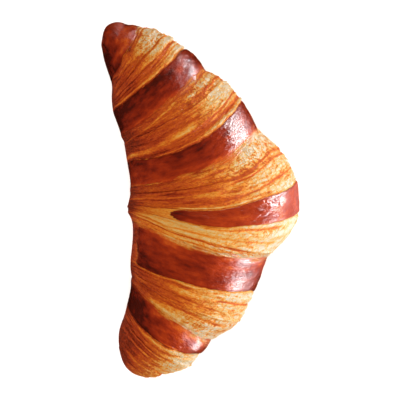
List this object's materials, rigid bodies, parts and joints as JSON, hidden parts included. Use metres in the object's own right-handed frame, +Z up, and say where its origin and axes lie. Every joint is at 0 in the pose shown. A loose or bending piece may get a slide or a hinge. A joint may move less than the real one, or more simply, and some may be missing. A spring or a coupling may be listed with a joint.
{
  "type": "croissant",
  "caption": "Crescent of laminated dough, rolled in overlapping turns and baked with a glossy egg wash, lying on its flat underside.",
  "frame": {"origin": "on the surface it rests on, below the middle of its bounding box", "axes": "+X along the crescent from its slim, darkest tip to its blunt tip, +Y towards the outer, convex side, +Z up"},
  "size_m": [0.1646, 0.0906, 0.0548],
  "materials": {
    "crust": "flaky baked crust, glossy and mahogany brown on the egg-washed bands, satin gold between them"
  },
  "bodies": {
    "root": {"croissant": "crust"}
  },
  "joints": []
}
